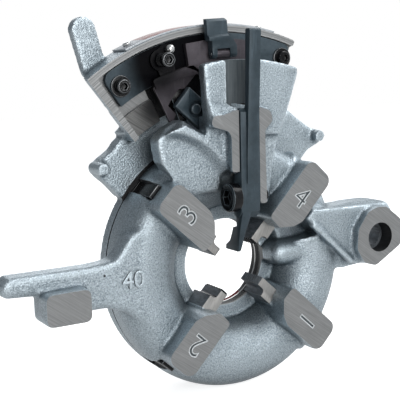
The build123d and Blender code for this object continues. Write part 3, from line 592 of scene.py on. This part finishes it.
def textForm(words, size, thickness, offset, bevel):
    # Letters lying in the XZ plane and facing the front, centred on the origin.
    curve = bpy.data.curves.new(words, "FONT")
    curve.body = words
    curve.size = size * mm
    curve.extrude = thickness * mm
    curve.offset = offset * mm
    curve.bevel_depth = bevel * mm
    curve.bevel_resolution = 1
    curve.resolution_u = 4
    curve.align_x, curve.align_y = "CENTER", "CENTER"
    holder = bpy.data.objects.new(words, curve)
    bpy.context.scene.collection.objects.link(holder)
    evaluated = holder.evaluated_get(bpy.context.evaluated_depsgraph_get())
    mesh = bpy.data.meshes.new_from_object(evaluated)
    bpy.data.objects.remove(holder)
    form = bmesh.new()
    form.from_mesh(mesh)
    bmesh.ops.remove_doubles(form, verts=form.verts, dist=weldReach / 2)
    form.transform(Matrix.Rotation(math.radians(90), 4, "X"))
    return form


def stampCutters(look, faceDepth):
    # Each digit twice: a wide shallow step whose floor is bright, and the deeper stroke inside it,
    # which is darker: painted shade.
    cutters = []
    for number, angle in enumerate(chaserAngles, start=1):
        a = math.radians(angle)
        place = Vector((math.cos(a), 0, math.sin(a))) * look["padRadius"] * mm
        place += Vector((0, -faceDepth * mm, 0))
        for depth, offset, finish in look["steps"]:
            form = textForm(str(number), look["size"], depth, offset, 0)
            upright = Matrix.Rotation(math.radians(90 - angle), 4, "Y")
            form.transform(Matrix.Translation(place) @ upright)
            cutters.append(objectFrom(form, f"stamp{number}", materials[finish]))
    return cutters


# Head casting: fills put metal back where the solid is open, and cuts leave the machined openings

headLook = {
    "moves": [
        ((-160, -88), (5, 13), (12, 28), (0, 0.7, 0)),  # left arm, top edge
        ((-160, -126), (-2.2, 2), (12, 28), (0, -0.7, 0)),  # left arm, lower edge
        ((62, 112), (33.5, 38), (11, 35), (0, -1.4, 0)),  # right arm, top edge
        ((78, 106), (-10.5, -3), (11, 42), (0, -1.1, 0)),  # eye and web, lower edge
        ((-30, 0), (90, 115), (39.7, 39.9), (0, 0, -1.6)),  # slope under the tower
    ],
    "padReach": (3.0, 0, 0, 4.4),
    "padStart": 70,
    "padHalf": 13.5,
    "padBack": 12,
    "voxel": 1.15,
    "rounds": 5,
    "stock": 1.6,
    "faceDepth": 40.0,
    "boreRadius": 29.0,
    "boreDepth": 7,
    "sleeveRadius": 36.02,
    "sleeveDepth": 4.02,
    "slotHalf": 5.15,
    "slotDepth": 26.15,
    "eye": (103.4, 10.9),
    "eyeRadius": 10.0,
    "pit": (-93.7, 5.5),
    "pitRadius": 0.8,
    "pitDepth": 26.7,
    "slotFill": [
        (28.5, -1), (28.5, 5.8), (35, 5.8), (35, 26.6),
        (76.2, 26.6), (76.2, 19), (81.2, 8.5), (81.2, -1),
    ],
    "slotFillHalf": 5.45,
    "armBead": [
        (50.6, 22.4), (64.8, 9.9), (83.0, -6.2), (85.2, -4.0), (67.0, 12.3), (52.8, 25.0),
    ],
    "armBeadDepths": (30, 35.6),
    "sleeveFill": (37.5, -1.5, 4.6),  # radius, back and front of a round fill
    "eyeFill": (10.4, 12, 41.4),
    "leverFill": ([(-7, 62.6), (8.4, 62.6), (8.4, 101), (-7, 99.8)], 27.6, 41.5),
    "neckFill": ([(-7, 84), (8.4, 84), (8.4, 104.4), (-7, 104.4)], 22, 30),
    "recessFill": ([(-13.6, 102), (8.4, 102), (8.4, 129.4), (-13.6, 129.4)], 30.7, 36.5),
    "leverCut": ([(-6.65, 30), (8.05, 30), (8.05, 104), (-6.65, 104)], 28.25, 50),
    "neckCut": ([(-6.65, 84), (8.05, 84), (8.05, 104), (-6.65, 104)], 15, 30),
    "recessCut": ([(-13.3, 140), (-13.3, 104.5), (-9.5, 102), (8.05, 102), (8.05, 140)], 31, 50),
}


def headStock(form, look):
    # Moves the machined front, the seam and the bore outward, so that the cuts find metal there.
    for vertex in form.verts:
        x, y, z = vertex.co / mm
        if y < -look["faceDepth"] + close:
            vertex.co.y -= look["stock"] * mm
        if abs(y) < close:
            vertex.co.y += look["stock"] * mm
        if abs(math.hypot(x, z) - look["boreRadius"]) < 2 * close and y > -look["boreDepth"]:
            vertex.co.x *= 1 - look["stock"] / look["boreRadius"]
            vertex.co.z *= 1 - look["stock"] / look["boreRadius"]


def lengthenPad(form, angle, reach, look):
    # Moves the outer end of a chaser's boss outward along its radius, by its reach.
    a = math.radians(angle)
    for vertex in form.verts:
        x, y, z = vertex.co / mm
        along = x * math.cos(a) + z * math.sin(a)
        across = z * math.cos(a) - x * math.sin(a)
        if along > look["padStart"] and abs(across) < look["padHalf"] and -y > look["padBack"]:
            vertex.co += Vector((math.cos(a), 0, math.sin(a))) * reach * mm


def headCasting(look):
    # The front body: stock on its machined faces and fills in its openings, then skin and cuts.
    form = nodeForm("front_body")
    nudge(form, look["moves"])
    headStock(form, look)
    for angle, reach in zip(chaserAngles, look["padReach"]):
        lengthenPad(form, angle, reach, look)
    for angle in chaserAngles:
        addRib(form, angle, look["slotFill"], look["slotFillHalf"])
    addRound(form, (0, 0), look["sleeveFill"])
    addPrism(form, look["armBead"], *look["armBeadDepths"])
    addRound(form, look["eye"], look["eyeFill"])
    for fill in ("leverFill", "neckFill", "recessFill"):
        addPrism(form, *look[fill])
    wide = [(-200, -200), (200, -200), (200, 200), (-200, 200)]
    bore, sleeve = (disc((0, 0), look[key], 128) for key in ("boreRadius", "sleeveRadius"))
    eye, pit = disc(look["eye"], look["eyeRadius"], 64), disc(look["pit"], look["pitRadius"], 16)
    cutters = [
        cutter("frontCut", wide, look["faceDepth"], 60),
        cutter("seamCut", wide, -20, 0),
        cutter("boreCut", bore, -5, 10),
        cutter("sleeveCut", sleeve, -5, look["sleeveDepth"]),
        cutter("eyeCut", eye, 5, 50, material="bore"),
        cutter("pitCut", pit, look["pitDepth"], 30, material="castCreaseShade"),
        cutter("leverCut", *look["leverCut"]),
        cutter("neckCut", *look["neckCut"], material="castShadow"),
        cutter("recessCut", *look["recessCut"], material="recessShade"),
    ]
    for number, angle in enumerate(chaserAngles):
        slot = bar(angle, 20, 100, look["slotHalf"])
        cutters.append(cutter(f"slotCut{number}", slot, -5, look["slotDepth"]))
    cutters += stampCutters(digitLook, look["faceDepth"])
    piece = castPiece("headCasting", form, look, cutters)
    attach(piece, "head_body")
    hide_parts("front_body")
    return piece


headCasting(headLook)


# Cam casting: a band is (inner radius, outer radius, start angle, end angle)

camLook = {
    "moves": [
        ((-91, -87), (117, 123), (-12, -10), (4.3, 0, 0)),  # back corners of the tongue's root
        ((-91, -87), (117, 123), (-4, -2), (1.2, 0, 0)),
        ((-87, -76), (104, 117.5), (-12, -2.9), (7.6, 0, 0)),  # round end of the tongue
        ((-95, -69), (48, 86), (-12, 7), (2.2, -1.0, 0)),  # left wing
        ((64, 90), (60, 88), (-12, 7), (1.4, 0, 0)),  # right wing
    ],
    "voxel": 1.2,
    "rounds": 4,
    "stock": 1.3,
    "stockRadius": 103,
    "rimBand": (98, 160, 60, 135),
    "rimDepth": 12.0,
    "ledgeBand": (125.9, 147.98, 69, 125.62),
    "guideBand": (103.5, 119, 114.9, 125.62),
    "guideDepth": 8.0,
    "stepBand": (118.9, 126, 114.9, 125.62),
    "stepDepth": 5.0,
    "pocketBand": (103.9, 125.96, 69.4, 115.0),
    "pocketDepth": -0.4,
    "seamRadius": 83.2,
    "seamDepth": -0.1,
    "edgeRadii": (79.6, 83.6),
    "edgeDepth": -1.7,
    "sleeveRadius": 36.05,
    "orbit": 55.0,
    "rise": 0.30,  # mm of the follower's radius for each degree
    "follower": 4.3,
    "turns": (-1.3, 24.3),
    "ends": (1.3, 9),  # half the turn of a round end in radians, and its points
    "grooveDepth": -4.5,
    "grooveFill": {"follower": 4.8, "turns": (-2.4, 25.4)},
    "grooveFillDepths": (-10, -0.15),
    "bodyFill": (60, -10.9, -0.2),
    "screwPlaces": ((-72.0, 116.0), (42.4, 131.4)),
    "screwFill": (3.2, -10.9, 7.9),
    "screwRadius": 2.52,
}


def scrollOutline(angle, look, steps=14):
    # Outline of one scroll groove. The follower's path is radius = orbit + rise * turn, at this
    # angle + turn. Both sides lie one follower radius from it, and its ends are round.
    turns = np.linspace(*look["turns"], steps)
    radius, a = look["orbit"] + look["rise"] * turns, np.radians(angle + turns)
    path = np.stack([radius * np.cos(a), radius * np.sin(a)], axis=1)
    step = np.arange(steps)
    run = path[np.minimum(step + 1, steps - 1)] - path[np.maximum(step - 1, 0)]
    run /= np.linalg.norm(run, axis=1)[:, None]
    side = look["follower"] * np.stack([-run[:, 1], run[:, 0]], axis=1)
    half, points = look["ends"]
    spread = np.linspace(half, -half, points)
    ends = []
    for point, (x, z) in ((path[-1], path[-1] - path[-2]), (path[0], path[0] - path[1])):
        turn = math.atan2(z, x) + spread
        ends.append(point + look["follower"] * np.stack([np.cos(turn), np.sin(turn)], axis=1))
    return np.concatenate([path + side, ends[0], (path - side)[::-1], ends[1]])


def camStock(form, look):
    # Raises the machined faces of the quadrant, so that the cuts find metal there.
    depths = (look["rimDepth"], look["guideDepth"], look["stepDepth"])
    for vertex in form.verts:
        radius = math.hypot(vertex.co.x, vertex.co.z) / mm
        if radius > look["stockRadius"]:
            if min(abs(vertex.co.y / mm + depth) for depth in depths) < close:
                vertex.co.y -= look["stock"] * mm


def camCasting(look):
    # The cam plate: stock on the quadrant and fills in its openings, then skin and cuts.
    form = nodeForm("cam_plate")
    nudge(form, look["moves"])
    camStock(form, look)
    addRound(form, (0, 0), look["bodyFill"])
    for angle in chaserAngles:
        wide = scrollOutline(angle, {**look, **look["grooveFill"]})
        addPrism(form, wide, *look["grooveFillDepths"])
    for place in look["screwPlaces"]:
        addRound(form, place, look["screwFill"], 24)
    rim, ledge, guide, step, pocket = (
        band(*look[key]) for key in ("rimBand", "ledgeBand", "guideBand", "stepBand", "pocketBand")
    )
    halves = [band(*look["edgeRadii"], start, start + 182, 90) for start in (-1, 179)]
    cutters = [
        cutter("rimCut", rim, look["rimDepth"], 30, material="rim"),
        cutter("seamCut", disc((0, 0), look["seamRadius"], 160), look["seamDepth"], 5),
        cutter("edgeCut0", halves[0], look["edgeDepth"], 1, material="castShadow"),
        cutter("edgeCut1", halves[1], look["edgeDepth"], 1, material="castShadow"),
        cutter("ledgeCut", ledge, look["guideDepth"], 20),
        cutter("guideCut", guide, look["guideDepth"], 20, material="guide"),
        cutter("stepCut", step, look["stepDepth"], 20),
        cutter("pocketCut", pocket, look["pocketDepth"], 20, material="castShadow"),
        cutter("boreCut", disc((0, 0), look["sleeveRadius"], 128), -20, 5),
    ]
    for number, angle in enumerate(chaserAngles):
        groove = scrollOutline(angle, look)
        cutters.append(cutter(f"grooveCut{number}", groove, look["grooveDepth"], 2))
    for number, place in enumerate(look["screwPlaces"]):
        hole = disc(place, look["screwRadius"], 32)
        cutters.append(cutter(f"holeCut{number}", hole, -20, 12))
    piece = castPiece("camCasting", form, look, cutters)
    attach(piece, "cam_quadrant")
    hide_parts("cam_plate")
    return piece


camCasting(camLook)


# Other parts: the same solids with rounded, lighter edges, as (faces, edges, width of the edge)

partLooks = {
    "trip_lever": ("oxide", "oxideEdge", 0.5),
    "pivot_screw": ("screw", "oxideEdge", 0.3),
    "lock_clip": ("oxide", "oxideEdge", 0.5),
    "clip_pin": ("oxide", "screwEdge", 0.3),
    "square_pawl": ("oxide", "oxideEdge", 0.4),
    "pawl_pin": ("oxide", "oxideEdge", 0.3),
    "arc_plate": ("arcOxide", "oxideEdge", 0.4),
    "arc_washer_left": ("screw", "screwEdge", 0.2),
    "arc_washer_right": ("screw", "screwEdge", 0.2),
    "arc_screw_left": ("screw", "screwEdge", 0.35),
    "arc_screw_right": ("screw", "screwEdge", 0.35),
    "scale_strip": ("scalePlate", "scalePlate", 0.2),
    "scale_screw_left": ("bright", "bright", 0.2),
    "scale_screw_right": ("bright", "bright", 0.2),
    "slide_block": ("screw", "oxideEdge", 0.4),
    "catch_plate": ("tempered", "temperedEdge", 0.5),
    "adjusting_screw": ("screw", "screwEdge", 0.3),
    "plunger": ("bright", "bright", 0.3),
    "chaser_1": ("toolSide", "tool", 0.15),
    "chaser_2": ("toolSide", "tool", 0.15),
    "chaser_3": ("toolSide", "tool", 0.15),
    "chaser_4": ("toolSide", "tool", 0.15),
    "hub_sleeve": ("bore", "tool", 0.3),
    "snap_ring": ("oxide", "oxideEdge", 0.2),
}
plainParts = {"adjuster_spring": "screw", "felt_pad": "felt"}
partMoves = {
    "lock_clip": [
        ((-40, 20), (148, 170), (9, 12), (0, -1.3, 6.0)),
        ((-40, 20), (150, 170), (12, 30), (0, -1.3, 0)),
    ],
    "trip_lever": [((-20, 40), (136, 170), (30, 60), (0, 2.0, 0))],
    "catch_plate": [
        ((-24, -15), (126, 146), (12, 16), (-8.7, -1.5, 0)),
        ((-43, -42), (108, 110), (12, 16), (4.2, -0.4, 0)),
        ((-38, -37), (113.5, 115), (12, 16), (3.7, -0.8, 0)),
    ],
}
facingLook = {
    "front": -0.95,  # a chaser's ground front, by its normal's Y
    "thread": 0.3,  # a chaser's threaded end, by its normal towards the bore
    # the one chaser whose threads keep the side finish instead of being darkened
    "paleThreadChaser": "chaser_1",
    "redField": (93.5, 112.2),  # degrees round the bore
    "redFace": -0.7,
}
edgeLook = {"flat": 1.5, "sharp": 38, "segments": 2}  # degrees, degrees and rows of faces


def recolour(piece, name, look):
    # Ground fronts and dark threads of the chasers, and the red field of the scale.
    mesh = piece.data
    if name.startswith("chaser"):
        mesh.materials.append(materials["screw"])
        a = math.radians(chaserAngles[int(name[-1]) - 1])
        for face in mesh.polygons:
            inward = -face.normal.x * math.cos(a) - face.normal.z * math.sin(a)
            if face.normal.y < look["front"]:
                face.material_index = 1
            elif inward > look["thread"] and name != look["paleThreadChaser"]:
                face.material_index = 2
    if name == "scale_strip":
        mesh.materials.append(materials["red"])
        low, high = look["redField"]
        for face in mesh.polygons:
            angle = math.degrees(math.atan2(face.center.z, face.center.x))
            if low < angle < high and face.normal.y > look["redFace"]:
                face.material_index = 2


def bevelEdges(piece, width):
    # Rounds the sharp edges and gives them the piece's second material.
    bevel = piece.modifiers.new("edges", "BEVEL")
    bevel.width = width * mm
    bevel.segments = edgeLook["segments"]
    bevel.material = 1
    return bevel


def roundedPart(name, faceMaterial, edgeMaterial, width):
    # The node's solid with flat facets joined and a narrow bevel of the edge material.
    form = nodeForm(name)
    nudge(form, partMoves.get(name, []))
    flat = math.radians(edgeLook["flat"])
    bmesh.ops.dissolve_limit(form, angle_limit=flat, verts=form.verts, edges=form.edges)
    piece = objectFrom(form, name + "_worn", materials[faceMaterial], materials[edgeMaterial])
    recolour(piece, name, facingLook)
    bevel = bevelEdges(piece, width)
    bevel.limit_method = "ANGLE"
    bevel.angle_limit = math.radians(edgeLook["sharp"])
    bevel.use_clamp_overlap = True
    settled(piece)
    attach(piece, bodyOf[name])
    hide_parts(name)


for partName, partLook in partLooks.items():
    roundedPart(partName, *partLook)
for partName, materialName in plainParts.items():
    frame["nodes"][partName].material_slots[0].material = materials[materialName]
print("parts:", len(partLooks) + len(plainParts))


# Tails of the chasers, which fill the slots outside the bosses, and thin rings in eye and bore

tailLook = {"inner": 73.3, "outer": 79.6, "half": 4.8, "back": 0.4, "front": 25.7, "edge": 0.4}
bushLook = {
    "centre": (103.4, 10.9), "outer": 9.95, "inner": 8.0, "back": 13.0, "front": 29.0,
    "finish": "toolSide",
}
boreRingLook = {
    "centre": (0, 0), "outer": 29.3, "inner": 28.7, "back": -2.2, "front": -1.0,
    "finish": "bright",
}


def chaserTail(number, angle, look):
    # A dark block with pale edges that its chaser carries.
    form = bmesh.new()
    outline = bar(angle, look["inner"], look["outer"], look["half"])
    addPrism(form, outline, look["back"], look["front"])
    name = f"chaserTail{number}"
    piece = objectFrom(form, name, materials["screw"], materials["screwEdge"])
    bevelEdges(piece, look["edge"])
    settled(piece)
    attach(piece, bodyOf[f"chaser_{number}"])


def headRing(name, look):
    # A ring that stands still with the head.
    form = bmesh.new()
    addRing(form, look["centre"], look["inner"], look["outer"], look["back"], look["front"])
    piece = objectFrom(form, name, materials[look["finish"]])
    settled(piece)
    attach(piece, "head_body")


for number, angle in enumerate(chaserAngles, start=1):
    chaserTail(number, angle, tailLook)
headRing("eyeBushing", bushLook)
headRing("boreRing", boreRingLook)
print("chaser tails:", len(chaserAngles), "and two rings")


# Raised number on the left arm

armNumber = {
    "words": "40",
    "size": 15.0,
    "thickness": 0.35,
    "bevel": 0.25,
    "place": (-75.0, 27.7, 0.4),  # x, depth and z
    "front": -0.6,  # a face whose normal's Y is over this is a side
    "sharp": 40,
}


def raisedNumber(look):
    # Cast digits on the arm, with painted shade on their sides.
    form = textForm(look["words"], look["size"], look["thickness"], 0, look["bevel"])
    x, depth, z = look["place"]
    form.transform(Matrix.Translation(Vector((x * mm, -depth * mm, z * mm))))
    piece = objectFrom(form, "armNumber", materials["castIron"], materials["castCreaseShade"])
    for face in piece.data.polygons:
        face.material_index = int(face.normal.y > look["front"])
    settled(piece, look["sharp"])
    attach(piece, "head_body")


raisedNumber(armNumber)
print("arm number placed")


# Camera, lamps, background and floor, in metres

cameraLook = {
    "azimuth": -29.2,
    "elevation": 11.0,
    "roll": -1.2,
    "distance": 0.642,
    "lens": 86.67,
    "sensor": 36,
    "shiftX": -0.0485,
    "shiftY": 0.151,
    "clip": (0.01, 50),
}


def placeCamera(look):
    # The camera stands on a sphere about the origin, with its own axes as the matrix's columns.
    a, e, r = (math.radians(look[key]) for key in ("azimuth", "elevation", "roll"))
    back = Vector((math.sin(a) * math.cos(e), -math.cos(a) * math.cos(e), math.sin(e)))
    level = Vector((math.cos(a), math.sin(a), 0))
    upright = back.cross(level)
    right = level * math.cos(r) + upright * math.sin(r)
    up = upright * math.cos(r) - level * math.sin(r)
    data = bpy.data.cameras.new("camera")
    data.lens = look["lens"]
    data.sensor_width = look["sensor"]
    data.shift_x, data.shift_y = look["shiftX"], look["shiftY"]
    data.clip_start, data.clip_end = look["clip"]
    camera = bpy.data.objects.new("camera", data)
    bpy.context.scene.collection.objects.link(camera)
    rows = [[right[i], up[i], back[i], back[i] * look["distance"]] for i in range(3)]
    camera.matrix_world = Matrix(rows + [[0, 0, 0, 1]])
    bpy.context.scene.camera = camera


lampAim = (0, 0, 0.03)
lampLooks = {
    "key": {
        "place": (-0.1, -1.2, 0.35), "size": (0.9, 0.7), "power": 7.0,
        "colour": (1.0, 0.995, 0.985),
    },
    "top": {
        "place": (0.6, -0.25, 1.1), "size": (0.9, 0.7), "power": 8.0,
        "colour": (1.0, 1.0, 1.0),
    },
    "right": {
        "place": (1.2, -0.1, 0.1), "size": (0.6, 1.0), "power": 2.5,
        "colour": (0.96, 0.98, 1.0),
    },
    "back": {
        "place": (0.5, 1.2, 0.6), "size": (0.8, 0.8), "power": 3.0,
        "colour": (0.98, 0.99, 1.0),
    },
}


def placeLamp(name, look):
    # A soft rectangle of light, turned towards the aim.
    data = bpy.data.lights.new(name, "AREA")
    data.shape = "RECTANGLE"
    data.size, data.size_y = look["size"]
    data.energy = look["power"]
    data.color = look["colour"]
    light = bpy.data.objects.new(name, data)
    bpy.context.scene.collection.objects.link(light)
    light.location = look["place"]
    aim = Vector(lampAim) - Vector(look["place"])
    light.rotation_euler = aim.to_track_quat("-Z", "Y").to_euler()


studioLook = {
    "left": (0.10, 0.115, 0.13),
    "middle": (0.25, 0.27, 0.29),
    "right": (0.73, 0.76, 0.78),
    "mirror": 0.08,  # share of the white background in reflections
    "floorHalf": 4,
    "floor": 0.8,
    "bounce": 0.4,
    "glow": 0.78,
    "shine": 0.40,
}


def seenStraight(tree):
    # Light Path, and its mask of the rays that show the background: camera and transmission.
    seen = addNode(tree, "ShaderNodeLightPath")
    either = {0: seen.outputs["Is Camera Ray"], 1: seen.outputs["Is Transmission Ray"]}
    straight = addNode(tree, "ShaderNodeMath", either, operation="MAXIMUM").outputs[0]
    return seen.outputs["Is Glossy Ray"], straight


def placeWorld(look):
    # White where the camera sees it, and a soft grey gradient from left to right for light, with a
    # share of the white added in reflections.
    world = bpy.data.worlds.new("studio")
    bpy.context.scene.world = world
    world.use_nodes = True
    tree = world.node_tree
    tree.nodes.clear()
    direction = addNode(tree, "ShaderNodeTexCoord").outputs["Generated"]
    across = addNode(tree, "ShaderNodeSeparateXYZ", {0: direction}).outputs["X"]
    ramp = addNode(tree, "ShaderNodeValToRGB", {0: ranged(tree, across, -1.0, 1.0)})
    ramp.color_ramp.elements[0].color = (*look["left"], 1)
    ramp.color_ramp.elements[1].color = (*look["right"], 1)
    ramp.color_ramp.elements.new(0.5).color = (*look["middle"], 1)
    soft = addNode(tree, "ShaderNodeBackground", {"Color": ramp.outputs[0], "Strength": 1.0})
    white = addNode(tree, "ShaderNodeBackground", {"Color": (1, 1, 1, 1), "Strength": 1.0})
    glossy, straight = seenStraight(tree)
    inputs = {0: glossy, 1: look["mirror"], 2: straight}
    share = addNode(tree, "ShaderNodeMath", inputs, operation="MULTIPLY_ADD", use_clamp=True)
    both = {0: share.outputs[0], 1: soft.outputs[0], 2: white.outputs[0]}
    mixed = addNode(tree, "ShaderNodeMixShader", both)
    output = addNode(tree, "ShaderNodeOutputWorld")
    tree.links.new(mixed.outputs[0], output.inputs[0])


def placeFloor(look):
    # A pale floor that keeps the object's shadow: part of what the camera sees glows white, and
    # the metal sees it glow less.
    mesh = bpy.data.meshes.new("floor")
    half, z = look["floorHalf"], cadLow[2]
    corners = [(-half, -half, z), (half, -half, z), (half, half, z), (-half, half, z)]
    mesh.from_pydata(corners, [], [(0, 1, 2, 3)])
    floor = bpy.data.objects.new("floor", mesh)
    bpy.context.scene.collection.objects.link(floor)
    material = bpy.data.materials.new("paleFloor")
    material.use_nodes = True
    tree = material.node_tree
    tree.nodes.clear()
    glossy, straight = seenStraight(tree)
    shine = addNode(tree, "ShaderNodeMath", {0: glossy, 1: look["shine"]}, operation="MULTIPLY")
    inputs = {0: straight, 1: look["glow"], 2: shine.outputs[0]}
    strength = addNode(tree, "ShaderNodeMath", inputs, operation="MULTIPLY_ADD").outputs[0]
    grey = ranged(tree, straight, 0.0, 1.0, look["bounce"], look["floor"])
    pale = addNode(tree, "ShaderNodeBsdfDiffuse", {"Color": grey})
    glow = addNode(tree, "ShaderNodeEmission", {"Color": (1, 1, 1, 1), "Strength": strength})
    both = addNode(tree, "ShaderNodeAddShader", {0: pale.outputs[0], 1: glow.outputs[0]})
    output = addNode(tree, "ShaderNodeOutputMaterial")
    tree.links.new(both.outputs[0], output.inputs[0])
    mesh.materials.append(material)


placeCamera(cameraLook)
for lampName, lampLook in lampLooks.items():
    placeLamp(lampName, lampLook)
placeWorld(studioLook)
placeFloor(studioLook)
bpy.context.scene.view_settings.view_transform = "Standard"
print("camera, lamps, world and floor placed")
